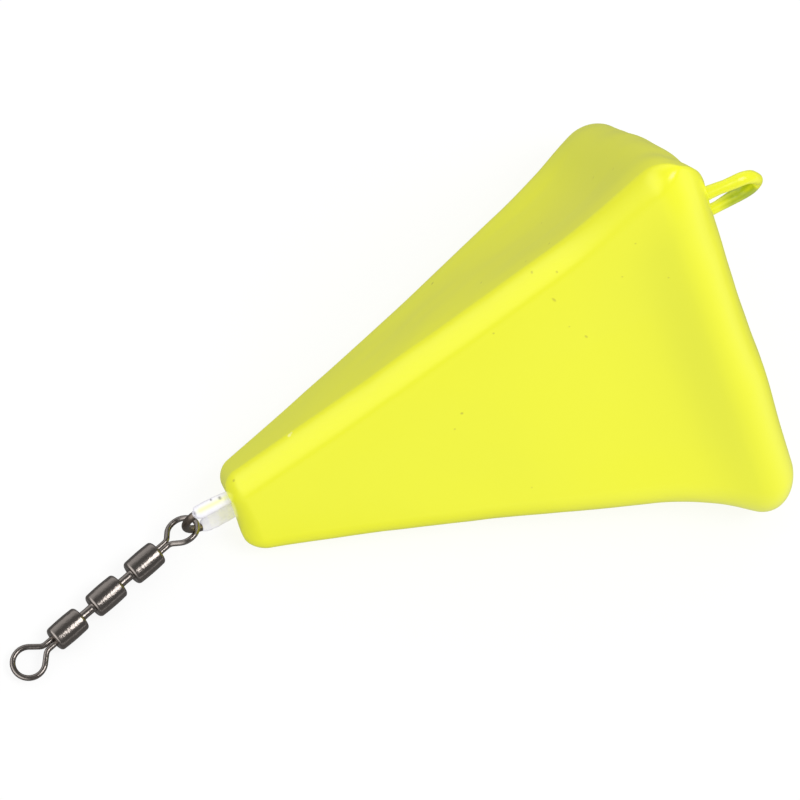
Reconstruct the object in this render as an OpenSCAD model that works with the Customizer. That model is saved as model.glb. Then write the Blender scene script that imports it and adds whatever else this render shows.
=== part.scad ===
// Sea fishing sinker: a coated three-sided lead pyramid with a cast-in wire eye
// at each end and a triple-barrel rolling swivel on the narrow one.
// Millimetres. The sinker lies on one face: +X runs to the wide end, +Z is up,
// and the origin is on the ground under the middle of the whole part.

/* [Body] */
// Length of the coated body along its own axis
body_len = 66.8; // [60:0.1:80]
// Side of the triangle at the narrow end, to its sharp corners
narrow_side = 15.8; // [15.4:0.1:18]
// Side of the triangle at the wide end, to its sharp corners
wide_side = 68.5; // [64:0.1:76]
// Rounding of the upper long edge, the ridge
ridge_r = 2.5; // [2.2:0.1:3.2]
// Rounding of the two lower long edges where they start at the narrow end
narrow_edge_r = 3.2; // [2.8:0.1:3.6]
// Rounding that the lower long edges grow to near the wide end
wide_edge_r = 7.1; // [6.4:0.1:9]
// Rounding of the two lower corners of the rim at the wide end
rim_corner_r = 7.7; // [7.4:0.1:8.6]
// Rounding round the narrow end
narrow_rim_r = 1.9; // [1.4:0.1:2.2]
// Rounding round the wide end
wide_rim_r = 6.8; // [5.6:0.1:6.9]
// How far the long edges bow inwards half way along
edge_bow = 0.7; // [0:0.1:2]
// How far the rim corners flare outwards
lip_flare = 2.3; // [0:0.1:3]
// How far the rim corners sweep back from the crown of the wide end
corner_sweep = 4.5; // [2:0.1:8]
// Sideways lean of the wide end, as a share of the distance from the middle
lean_share = 0.05; // [0:0.01:0.08]

/* [Coating] */
// Thickness of the white base coat
base_coat_t = 0.12; // [0.05:0.01:0.3]
// Thickness of the yellow top coat
top_coat_t = 0.2; // [0.1:0.01:0.4]
// Thickness of the yellow film on the tow eye
eye_film_t = 0.25; // [0.1:0.01:0.3]
// Thickness of the white run of coating on the front loop
loop_run_t = 0.42; // [0.2:0.01:0.5]

/* [Cast-in wire] */
// Diameter of the stainless wire
wire_d = 1; // [0.8:0.05:1.2]
// Width of the tow eye between wire centres
tow_width = 5.4; // [5:0.1:8]
// How far the tow eye stands out of the crown of the wide end
tow_out = 6.8; // [6.4:0.1:9]
// Height of the tow eye above the body's own axis
tow_up = 20.2; // [16:0.1:22]
// Length of wire from the tow eye's bow to its anchor bends
tow_leg = 12; // [9:0.1:16]
// Height of the front loop above the body's own axis
loop_up = 0.8; // [0.2:0.1:1]
// How far the front loop stands to the side of the body's own axis
loop_side = 0.2; // [0:0.1:0.6]
// Width of the front loop between wire centres
loop_width = 5.8; // [5:0.1:6.2]
// How far the front loop stands out of the narrow end
loop_out = 6.8; // [6.2:0.1:8]
// Length of wire from the front loop's bow to its anchor bends
loop_leg = 15; // [10:0.1:20]
// Radius of the anchor bends
anchor_bend_r = 1.8; // [1.2:0.1:2.5]
// Length of the anchor's straight end
anchor_end = 1.6; // [1:0.1:3]

/* [Swivel] */
// Diameter of a barrel
barrel_d = 3.3; // [3:0.05:4]
// Length of a barrel
barrel_len = 4.4; // [4:0.1:6]
// Wall of a barrel
barrel_wall = 0.45; // [0.3:0.05:0.5]
// Thickness of a barrel's closed-in ends
barrel_end_t = 0.6; // [0.4:0.05:0.8]
// Rounding of a barrel's ends
barrel_round = 0.45; // [0.2:0.05:0.55]
// Gap between two barrels
barrel_gap = 1.8; // [1.5:0.05:3]
// Diameter of the link pins
pin_d = 1.2; // [1:0.05:1.3]
// Diameter of the wire of the eyes
eye_wire_d = 0.7; // [0.6:0.05:0.75]
// Radius of an eye to the middle of its wire
eye_r = 1.95; // [1.9:0.05:2.4]
// Length of the two parallel wires between an eye's ring and the barrel
eye_shank = 1.7; // [1.2:0.05:3]
// Diameter of the heads inside the barrels
head_d = 2; // [1.8:0.05:2.2]
// Thickness of the heads inside the barrels
head_t = 0.7; // [0.5:0.05:0.9]
// Radial running clearance of the pins and necks in the barrels
run_gap = 0.05; // [0.02:0.01:0.1]
// Slack between the near eye and the front loop
eye_slack = 0.5; // [0.15:0.05:0.6]
// Sideways angle at which the swivel lies
swivel_yaw = 17; // [0:0.5:30]
// Angle at which the near eye is turned about the swivel's axis
near_eye_roll = -28; // [-35:1:35]
// Height of the lowest barrel above the ground
ground_gap = 0.05; // [0.02:0.01:0.5]

/* [Detail] */
// Steps round each long edge of the body
edge_steps = 8; // [4:2:10]
// Steps along the body between its rounded ends
length_steps = 9; // [6:1:14]

/* [Hidden] */
$fn = 48;

// Steps that do not change the size: flats between the long edges, the rounded
// ends, the rings that close the crown, and the corner of a barrel
flat_steps = 5;
narrow_steps = 4;
wide_steps = 7;
crown_shares = [0.66, 0.33];
round_steps = 6;

// Where the rim begins to flare and its corners tighten, as a share of the length
flare_start_share = 0.701;
// Where the flare is complete, as a share of the wide rounding before the end
flare_end_share = 0.6;
// How the rim's sweep grows from the crown to the corners, and along the body
sweep_power = 4;
sweep_along_power = 6;
lean_along_power = 3;
// Least rounding left on an edge, as a share of its rounding
least_round_share = 0.1;
// Half the pitch of the two parallel wires of an eye, as a share of their diameter
twin_half_share = 0.53;
// Thickness of the two parallel wires, as a share of the ring's
twin_thin_share = 0.97;
// Radius of an eye's round neck over its wires, as a share of their diameter
neck_share = 1.06;
// How far the cores of cut tubes run past, as a share of the wire's diameter
overrun = wire_d * 0.5;

wire_r = wire_d / 2;
narrow_reach = narrow_side / sqrt(3);
wide_reach = wide_side / sqrt(3);
rim_reach = wide_reach + lip_flare;

// Distance from the axis to the sharp corners at a place along the body
function flare_at(x) =
  let (from = flare_start_share * body_len)
  let (to = body_len - flare_end_share * wide_rim_r)
  let (s = min(max((x - from) / (to - from), 0), 1))
  s * s * (3 - 2 * s);
function reach_at(x) =
  let (t = x / body_len)
  let (bow_share = 1 - pow(2 * t - 1, 2))
  narrow_reach + (wide_reach - narrow_reach) * t - edge_bow * bow_share + lip_flare * flare_at(x);
function lower_edge_r_at(x) =
  narrow_edge_r + (wide_edge_r - narrow_edge_r) * x / body_len
  + (rim_corner_r - wide_edge_r) * flare_at(x);

// A triangle with round corners, one corner up, as [sideways, up, reach] points;
// the reach sets how far a point is swept back, and runs evenly along a flat
function rounded_triangle(reach, radii) = [
  for (k = [0:2])
    let (aim = 90 + 120 * k)
    let (r = radii[k])
    let (next_r = radii[(k + 1) % 3])
    let (out = [cos(aim + 60), sin(aim + 60)])
    let (middle = (reach - 2 * r) * [cos(aim), sin(aim)])
    let (from = middle + r * out)
    let (to = (reach - 2 * next_r) * [cos(aim + 120), sin(aim + 120)] + next_r * out)
    for (j = [0:edge_steps + flat_steps - 1])
      let (turn = aim - 60 + 120 * j / edge_steps)
      let (share = (j - edge_steps) / flat_steps)
      let (on_flat = j >= edge_steps)
      let (p = on_flat ? from + (to - from) * share : middle + r * [cos(turn), sin(turn)])
      [p[0], p[1], on_flat ? norm(from) + (norm(to) - norm(from)) * share : norm(p)]
];

// Stations as [place along the body, how far the rounded end draws the section in],
// for a surface that lies a depth under the outside
function stations(depth) =
  let (r0 = narrow_rim_r - depth)
  let (r1 = wide_rim_r - depth)
  concat(
    [for (i = [0:narrow_steps])
      let (a = 90 * i / narrow_steps)
      [depth + r0 * (1 - cos(a)), r0 * (1 - sin(a))]],
    [for (i = [1:length_steps - 1])
      [narrow_rim_r + (body_len - narrow_rim_r - wide_rim_r) * i / length_steps, 0]],
    [for (i = [wide_steps:-1:0])
      let (a = 90 * i / wide_steps)
      [body_len - depth - r1 * (1 - cos(a)), r1 * (1 - sin(a))]]);

// A section point in space, with the sweep and the lean of the wide end
function placed(x, p) =
  let (t = x / body_len)
  [x - corner_sweep * pow(p[2] / rim_reach, sweep_power) * pow(t, sweep_along_power)
    + lean_share * p[0] * pow(t, lean_along_power), p[0], p[1]];

function section_at(s, depth) =
  let (inset = s[1] + depth)
  let (ridge = max(ridge_r - inset, least_round_share * ridge_r))
  let (lower = max(lower_edge_r_at(s[0]) - inset, least_round_share * narrow_edge_r))
  rounded_triangle(reach_at(s[0]) - 2 * inset, [ridge, lower, lower]);

function body_rings(depth) =
  let (list = stations(depth))
  let (last = list[len(list) - 1])
  let (rim = section_at(last, depth))
  concat(
    [for (s = list) [for (p = section_at(s, depth)) placed(s[0], p)]],
    [for (f = crown_shares) [for (p = rim) placed(last[0], f * p)]]);

// The closed skin that lies a depth under the outside of the coated body
module body_skin(depth) {
  rings = body_rings(depth);
  n = len(rings);
  m = len(rings[0]);
  points = concat([for (r = rings) each r], [[depth, 0, 0], [body_len - depth, 0, 0]]);
  sides = [for (i = [0:n - 2]) for (j = [0:m - 1]) each
    let (a = i * m + j)
    let (b = i * m + (j + 1) % m)
    [[a, b + m, b], [a, a + m, b + m]]];
  narrow_cap = [for (j = [0:m - 1]) [n * m, j, (j + 1) % m]];
  wide_cap = [for (j = [0:m - 1]) [n * m + 1, (n - 1) * m + (j + 1) % m, (n - 1) * m + j]];
  polyhedron(points, concat(sides, narrow_cap, wide_cap), convexity = 4);
}

// How the body lies: on the bottom of its narrow end and on two rim corners
outer_points = [for (r = body_rings(0)) each r];
heel_x = narrow_rim_r;
heel_depth = reach_at(heel_x) / 2;
lie_slope = max([for (p = outer_points) if (p[0] > body_len / 2)
  (-p[2] - heel_depth) / (p[0] - heel_x)]);
lie_angle = atan(lie_slope);
lie_height = -min([for (p = outer_points) p[0] * sin(lie_angle) + p[2] * cos(lie_angle)]);

function laid(p) = [
  p[0] * cos(lie_angle) - p[2] * sin(lie_angle),
  p[1],
  p[0] * sin(lie_angle) + p[2] * cos(lie_angle) + lie_height];

// Bows of the two cast-in eyes, in the body's own frame
tow_r = tow_width / 2;
tow_bow = body_len + tow_out - wire_r - eye_film_t - tow_r;
loop_r = loop_width / 2;
loop_bow = -(loop_out - wire_r - loop_r);
hinge_point = laid([loop_bow - loop_r, loop_side, loop_up]);

// Stations of the swivel along its own axis, from the hinge on the front loop
twin_half = twin_half_share * eye_wire_d;
shank_end = eye_r + eye_wire_d / 2 + eye_shank;
ring_to_barrel = shank_end + barrel_len / 2;
near_ring_at = eye_r - eye_wire_d / 2 - wire_r - eye_slack;
barrel_pitch = barrel_len + barrel_gap;
barrel_1_at = near_ring_at + ring_to_barrel;
barrel_2_at = barrel_1_at + barrel_pitch;
barrel_3_at = barrel_2_at + barrel_pitch;
end_ring_at = barrel_3_at + ring_to_barrel;
swivel_drop = hinge_point[2] - barrel_d / 2 - ground_gap;
swivel_pitch = asin(swivel_drop / (barrel_3_at + barrel_len / 2));

// Fit sizes of the swivel
pin_hole_r = pin_d / 2 + run_gap;
neck_r = eye_wire_d * neck_share;
neck_hole_r = neck_r + run_gap;
cavity_r = barrel_d / 2 - barrel_wall;
// A pin reaches into a barrel as far as its head, which bears on the closed-in end
head_from = barrel_len / 2 - barrel_end_t - run_gap;

// The whole part's ends along X, which centre it on the origin
far_end = hinge_point[0] - end_ring_at * cos(swivel_pitch) * cos(swivel_yaw) - eye_r - eye_wire_d / 2;
tow_end = laid([tow_bow, 0, tow_up])[0] + tow_r + wire_r + eye_film_t;
rim_end = max([for (p = outer_points) laid(p)[0]]);
middle_x = (far_end + max(tow_end, rim_end)) / 2;

module lay() {
  translate([-middle_x, 0, lie_height]) rotate([0, -lie_angle, 0]) children();
}

module on_swivel(along) {
  translate([hinge_point[0] - middle_x, hinge_point[1], hinge_point[2]])
    rotate([0, -swivel_pitch, swivel_yaw])
      translate([-along, 0, 0]) children();
}

// A round bar along X from one place to another
module bar(from, to, r) {
  translate([min(from, to), 0, 0]) rotate([0, 90, 0]) cylinder(h = abs(to - from), r = r);
}

// A bent round bar in the XZ plane about the origin, symmetric about +X
module bow(bend_r, r, half_angle) {
  rotate([90, 0, 0]) rotate([0, 0, -half_angle])
    rotate_extrude(angle = 2 * half_angle) translate([bend_r, 0]) circle(r);
}

// One leg of a cast-in eye: straight, then bent sideways as an anchor
module anchored_leg(leg, r) {
  bar(-leg, 0, r);
  translate([-leg, anchor_bend_r, 0]) rotate([0, 0, 180])
    rotate_extrude(angle = 90) translate([anchor_bend_r, 0]) circle(r);
  translate([-leg - anchor_bend_r, anchor_bend_r, 0]) rotate([-90, 0, 0]) cylinder(h = anchor_end, r = r);
}

// A cast-in eye, with its bow about the origin and pointing along +X
module cast_eye(bend_r, leg, r) {
  bow(bend_r, r, 90);
  translate([0, 0, bend_r]) anchored_leg(leg, r);
  translate([0, 0, -bend_r]) mirror([0, 1, 0]) anchored_leg(leg, r);
}

module at_tow_eye() {
  translate([tow_bow, 0, tow_up]) children();
}

module at_front_loop() {
  translate([loop_bow, loop_side, loop_up]) rotate([0, 0, 180]) children();
}

module tow_wire_shape() {
  at_tow_eye() cast_eye(tow_r, tow_leg, wire_r);
}

module loop_wire_shape() {
  at_front_loop() cast_eye(loop_r, loop_leg, wire_r);
}

// Tubes of coating over the wires, still solid inside
module tow_tube() {
  at_tow_eye() {
    bow(tow_r, wire_r + eye_film_t, 90);
    for (side = [-1, 1]) translate([0, 0, side * tow_r]) bar(-(tow_out - tow_r), 0, wire_r + eye_film_t);
  }
}

// A run of coating on one limb of the front loop, from inside the end to the bow
run_len = base_coat_t + top_coat_t + overrun - loop_bow;
module run_tube(side) {
  at_front_loop() translate([0, 0, side * loop_r]) bar(-run_len, 0, wire_r + loop_run_t);
}

module run_coat(side) {
  difference() {
    at_front_loop() translate([0, 0, side * loop_r]) difference() {
      bar(-run_len, 0, wire_r + loop_run_t);
      bar(-run_len - overrun, overrun, wire_r);
    }
    body_skin(top_coat_t);
  }
}

module lead_core() {
  color("dimgray") lay() difference() {
    body_skin(top_coat_t + base_coat_t);
    tow_wire_shape();
    loop_wire_shape();
  }
}

module white_base_coat() {
  color("white") lay() difference() {
    body_skin(top_coat_t);
    body_skin(top_coat_t + base_coat_t);
    tow_wire_shape();
    loop_wire_shape();
  }
}

module yellow_coat() {
  color([0.93, 0.95, 0.1]) lay() difference() {
    body_skin(0);
    body_skin(top_coat_t);
    tow_wire_shape();
    run_tube(1);
    run_tube(-1);
  }
}

module front_loop_wire() {
  color("slategray") lay() loop_wire_shape();
}

module front_loop_coat_upper() {
  color("whitesmoke") lay() run_coat(1);
}

module front_loop_coat_lower() {
  color("whitesmoke") lay() run_coat(-1);
}

module tow_eye_wire() {
  color("slategray") lay() tow_wire_shape();
}

module tow_eye_coat() {
  color([0.93, 0.95, 0.1]) lay() difference() {
    tow_tube();
    body_skin(0);
    tow_wire_shape();
  }
}

// A wire eye about the origin, with its shank, neck and head along -X
module swivel_eye() {
  wire = eye_wire_d / 2;
  inside = shank_end + barrel_len / 2 - head_from;
  rotate_extrude() translate([eye_r, 0]) circle(wire);
  for (side = [-1, 1]) translate([0, side * twin_half, 0])
    bar(-shank_end - wire, -eye_r, wire * twin_thin_share);
  bar(-inside, -shank_end, neck_r);
  bar(-inside - head_t, -inside, head_d / 2);
}

// A barrel about the origin along X, with its own hole in each end
module barrel(hole_near, hole_far) {
  half = barrel_len / 2;
  r = barrel_d / 2;
  arc = [for (i = [0:round_steps]) let (a = 90 * i / round_steps)
    [r - barrel_round + barrel_round * cos(a), half - barrel_round + barrel_round * sin(a)]];
  lower_arc = [for (i = [round_steps:-1:0]) [arc[i][0], -arc[i][1]]];
  rotate([0, 90, 0]) rotate_extrude() polygon(concat(
    [[hole_far, -half]], lower_arc, arc,
    [[hole_near, half], [hole_near, half - barrel_end_t], [cavity_r, half - barrel_end_t],
      [cavity_r, -half + barrel_end_t], [hole_far, -half + barrel_end_t]]));
}

// A link pin with its middle at the origin: two heads, each inside a barrel
module link_pin() {
  inside = barrel_pitch / 2 - head_from;
  bar(-inside, inside, pin_d / 2);
  for (side = [-1, 1]) bar(side * inside, side * (inside + head_t), head_d / 2);
}

module swivel_near_eye() {
  color("dimgray") on_swivel(near_ring_at) rotate([near_eye_roll, 0, 0]) swivel_eye();
}

module swivel_barrel_1() {
  color("darkslategray") on_swivel(barrel_1_at) barrel(neck_hole_r, pin_hole_r);
}

module swivel_link_pin_1() {
  color("dimgray") on_swivel(barrel_1_at + barrel_pitch / 2) link_pin();
}

module swivel_barrel_2() {
  color("darkslategray") on_swivel(barrel_2_at) barrel(pin_hole_r, pin_hole_r);
}

module swivel_link_pin_2() {
  color("dimgray") on_swivel(barrel_2_at + barrel_pitch / 2) link_pin();
}

module swivel_barrel_3() {
  color("darkslategray") on_swivel(barrel_3_at) barrel(pin_hole_r, neck_hole_r);
}

module swivel_end_eye() {
  color("dimgray") on_swivel(end_ring_at) mirror([1, 0, 0]) swivel_eye();
}

lead_core();
white_base_coat();
yellow_coat();
front_loop_wire();
front_loop_coat_upper();
front_loop_coat_lower();
tow_eye_wire();
tow_eye_coat();
swivel_near_eye();
swivel_barrel_1();
swivel_link_pin_1();
swivel_barrel_2();
swivel_link_pin_2();
swivel_barrel_3();
swivel_end_eye();
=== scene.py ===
"""Looks of a coated three-sided fishing sinker with its rolling swivel.

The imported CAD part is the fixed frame. Every visible piece is a numpy surface
that stands for one CAD node and rides on that node's body. Lengths in the
dataclasses are millimetres and are turned into metres once, when a mesh is made.
"""

import logging
import math
from dataclasses import dataclass
from enum import Enum
from typing import Callable, Sequence

import bpy
import numpy as np
from mathutils import Matrix, Vector


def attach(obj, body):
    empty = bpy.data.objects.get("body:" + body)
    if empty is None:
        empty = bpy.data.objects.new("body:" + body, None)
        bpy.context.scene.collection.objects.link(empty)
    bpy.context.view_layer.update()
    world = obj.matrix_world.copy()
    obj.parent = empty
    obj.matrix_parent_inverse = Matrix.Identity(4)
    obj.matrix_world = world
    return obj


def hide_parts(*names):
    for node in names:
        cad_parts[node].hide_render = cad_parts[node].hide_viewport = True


LOG = logging.getLogger("sinker")
MM = 0.001
WHITE = (1, 1, 1, 1)
Triple = tuple[float, float, float]
Socket = bpy.types.NodeSocket

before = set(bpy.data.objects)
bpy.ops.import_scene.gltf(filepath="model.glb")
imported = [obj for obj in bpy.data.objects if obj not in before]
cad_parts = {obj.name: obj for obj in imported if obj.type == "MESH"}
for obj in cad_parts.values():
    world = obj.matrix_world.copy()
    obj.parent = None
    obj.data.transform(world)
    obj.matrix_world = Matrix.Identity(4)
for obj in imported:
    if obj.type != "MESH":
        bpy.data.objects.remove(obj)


class Slot(Enum):
    """Material slots of the record."""

    LEAD = "lead"
    BASE_COAT = "base_coat"
    YELLOW = "yellow"
    WIRE = "wire"
    BLACK_NICKEL = "black_nickel"


@dataclass(frozen=True)
class Lay:
    """How the body's own frame lies in the row frame.

    Attributes:
        tilt: Angle of the body's axis above the ground, in degrees.
        lift: Height of the axis' narrow end.
        back: Distance from the narrow end to the row's origin along X.
    """

    tilt: float = 14.0225
    lift: float = 4.34706
    back: float = 17.9505

    def points(self, local: np.ndarray) -> np.ndarray:
        """Takes body-frame points to the row frame.

        Args:
            local: Points of shape (..., 3).

        Returns:
            The points laid down, still in millimetres.
        """
        c, s = math.cos(math.radians(self.tilt)), math.sin(math.radians(self.tilt))
        x, y, z = local[..., 0], local[..., 1], local[..., 2]
        return np.stack([x * c - z * s - self.back, y, x * s + z * c + self.lift], -1)


@dataclass(frozen=True)
class BodyForm:
    """Sizes of the coated body, the same as the CAD source has."""

    length: float = 66.8
    narrow_side: float = 15.8
    wide_side: float = 68.5
    ridge: float = 2.5
    narrow_edge: float = 3.2
    wide_edge: float = 7.1
    rim_corner: float = 7.7
    narrow_rim: float = 1.9
    wide_rim: float = 6.8
    bow: float = 0.7
    flare: float = 2.3
    sweep: float = 4.5
    lean: float = 0.05
    flare_from: float = 0.701
    flare_to: float = 0.6
    least: float = 0.1

    @property
    def narrow_reach(self) -> float:
        """Distance from the axis to the narrow end's sharp corners."""
        return self.narrow_side / math.sqrt(3)

    @property
    def wide_reach(self) -> float:
        """Distance from the axis to the wide end's sharp corners."""
        return self.wide_side / math.sqrt(3)

    def flare_share(self, x: np.ndarray) -> np.ndarray:
        """Smooth step from 0 to 1 towards the rim.

        Args:
            x: Places along the body.

        Returns:
            The share at each place.
        """
        low = self.flare_from * self.length
        high = self.length - self.flare_to * self.wide_rim
        s = np.clip((x - low) / (high - low), 0, 1)
        return s * s * (3 - 2 * s)

    def reach(self, x: np.ndarray) -> np.ndarray:
        """Distance from the axis to the sharp corners at places along the body."""
        t = x / self.length
        bow = 4 * self.bow * t * (1 - t)
        straight = self.narrow_reach + (self.wide_reach - self.narrow_reach) * t
        return straight - bow + self.flare * self.flare_share(x)

    def radii(self, x: np.ndarray, inset: np.ndarray) -> tuple[np.ndarray, np.ndarray]:
        """Rounding of the ridge and of the two lower long edges.

        Args:
            x: Places along the body.
            inset: How far each section is drawn in.

        Returns:
            The ridge's radii and the lower edges' radii.
        """
        grown = self.narrow_edge + (self.wide_edge - self.narrow_edge) * x / self.length
        lower = grown + (self.rim_corner - self.wide_edge) * self.flare_share(x)
        ridge = np.maximum(self.ridge - inset, self.least * self.ridge)
        return ridge, np.maximum(lower - inset, self.least * self.narrow_edge)

    def placed(self, x: np.ndarray, section: np.ndarray) -> np.ndarray:
        """Section points in space, with the sweep and the lean of the wide end.

        Args:
            x: Places along the body, one for each section.
            section: Points of shape (sections, points, 3): sideways, up and reach.

        Returns:
            Points in the body's own frame.
        """
        x = np.broadcast_to(x[:, None], section.shape[:2])
        y, z, reach = np.moveaxis(section, -1, 0)
        t = x / self.length
        swept = self.sweep * (reach / (self.wide_reach + self.flare)) ** 4 * t**6
        return np.stack([x - swept + self.lean * y * t**3, y, z], -1)


class Grid:
    """A closed surface made of rings of points, joined in order."""

    def __init__(self, rings: np.ndarray, masks: dict[str, np.ndarray] | None = None) -> None:
        """Stores the rings.

        Args:
            rings: Array of shape (rings, points round a ring, 3), in millimetres.
            masks: Named values of 0 to 1, one for each point of the rings.
        """
        self.rings = rings
        self.masks = masks or {}

    def mesh(self, name: str) -> bpy.types.Mesh:
        """Builds the mesh with its faces outward.

        Args:
            name: Name of the mesh.

        Returns:
            A closed mesh in metres.
        """
        n, m, _ = self.rings.shape
        points = self.rings.reshape(-1, 3)
        i = np.arange(n - 1)[:, None] * m
        j = np.arange(m)[None, :]
        k = (j + 1) % m
        quads = np.stack([i + j, i + k, i + m + k, i + m + j], -1).reshape(-1, 4)
        points = np.vstack([points, self.rings[0].mean(0), self.rings[-1].mean(0)])
        j = np.arange(m)
        k = (j + 1) % m
        first = np.stack([np.full(m, n * m), k, j], -1)
        last = np.stack([np.full(m, n * m + 1), (n - 1) * m + j, (n - 1) * m + k], -1)
        mesh = bpy.data.meshes.new(name)
        self._fill(mesh, points * MM, [quads, first, last])
        for key, values in self.masks.items():
            whole = np.concatenate([values.ravel(), [values[0].mean(), values[-1].mean()]])
            mask = mesh.attributes.new(key, "FLOAT", "POINT")
            mask.data.foreach_set("value", whole.astype(np.float32))
        return mesh

    @staticmethod
    def _fill(mesh: bpy.types.Mesh, points: np.ndarray, faces: Sequence[np.ndarray]) -> None:
        """Writes points and faces, turning the surface outward if it is inside out."""
        tris = []
        for f in faces:
            tris.append(f[:, :3])
            if f.shape[1] == 4:
                tris.append(f[:, [0, 2, 3]])
        t = np.vstack(tris)
        a, b, c = points[t[:, 0]], points[t[:, 1]], points[t[:, 2]]
        if np.einsum("ij,ij->i", a, np.cross(b, c)).sum() < 0:
            faces = [f[:, ::-1] for f in faces]
        sizes = np.concatenate([np.full(len(f), f.shape[1]) for f in faces])
        loops = np.concatenate([f.ravel() for f in faces])
        mesh.vertices.add(len(points))
        mesh.vertices.foreach_set("co", points.ravel())
        mesh.loops.add(len(loops))
        mesh.loops.foreach_set("vertex_index", loops.astype(np.int32))
        mesh.polygons.add(len(sizes))
        starts = np.concatenate([[0], np.cumsum(sizes)[:-1]])
        mesh.polygons.foreach_set("loop_start", starts.astype(np.int32))
        mesh.polygons.foreach_set("use_smooth", np.ones(len(sizes), bool))
        mesh.update(calc_edges=True)
        mesh.validate()


WAVES_ADDED = 9


def fade(value: np.ndarray, start: float, end: float) -> np.ndarray:
    """Straight step of a value: 0 at the start and before it, 1 at the end and past it."""
    return np.clip((value - start) / (end - start), 0, 1)


def smooth_noise(seed: int, points: np.ndarray, pitch: float) -> np.ndarray:
    """Soft random waves over space.

    Args:
        seed: Seed of the waves.
        points: Points of shape (..., 3).
        pitch: Rough length of a wave.

    Returns:
        Values of about -1 to 1.
    """
    rng = np.random.default_rng(seed)
    total = np.zeros(points.shape[:-1])
    for _ in range(WAVES_ADDED):
        way = rng.normal(size=3)
        way /= np.linalg.norm(way)
        k = 2 * math.pi / (pitch * rng.uniform(0.7, 1.5))
        total += np.sin(points @ way * k + rng.uniform(0, 2 * math.pi))
    return total / (WAVES_ADDED / 2)


@dataclass(frozen=True)
class Bulge:
    """A place where the coated casting stands a little off its plain form.

    Attributes:
        place: Its middle in the body's own frame.
        push: How far and which way the skin moves there.
        spread: How wide it is.
    """

    place: Triple
    push: Triple
    spread: float


BULGES = (
    Bulge((65.3, 14.0, 10.0), (0.42, 0.25, 0.12), 8.0),
    Bulge((65.0, 8.5, 19.0), (0.32, 0.19, 0.09), 5.5),
    Bulge((64.6, -1.0, 31.5), (0.36, 0.0, 0.50), 6.0),
    Bulge((49.0, 22.0, -7.3), (-0.18, 0.56, 0.17), 11.0),
    Bulge((62.6, 27.8, -9.4), (-0.01, -0.32, 0.0), 4.5),
    Bulge((65.1, -16.5, 0.5), (0.33, -0.06, 0.0), 6.0),
    Bulge((59.6, -27.6, -14.3), (-0.42, -0.14, 0.1), 3.4),
    Bulge((45.0, -21.2, -10.8), (0.0, -0.24, 0.0), 7.0),
    Bulge((0.0, -3.4, -1.5), (-0.62, -0.10, 0.10), 3.0),
)


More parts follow.
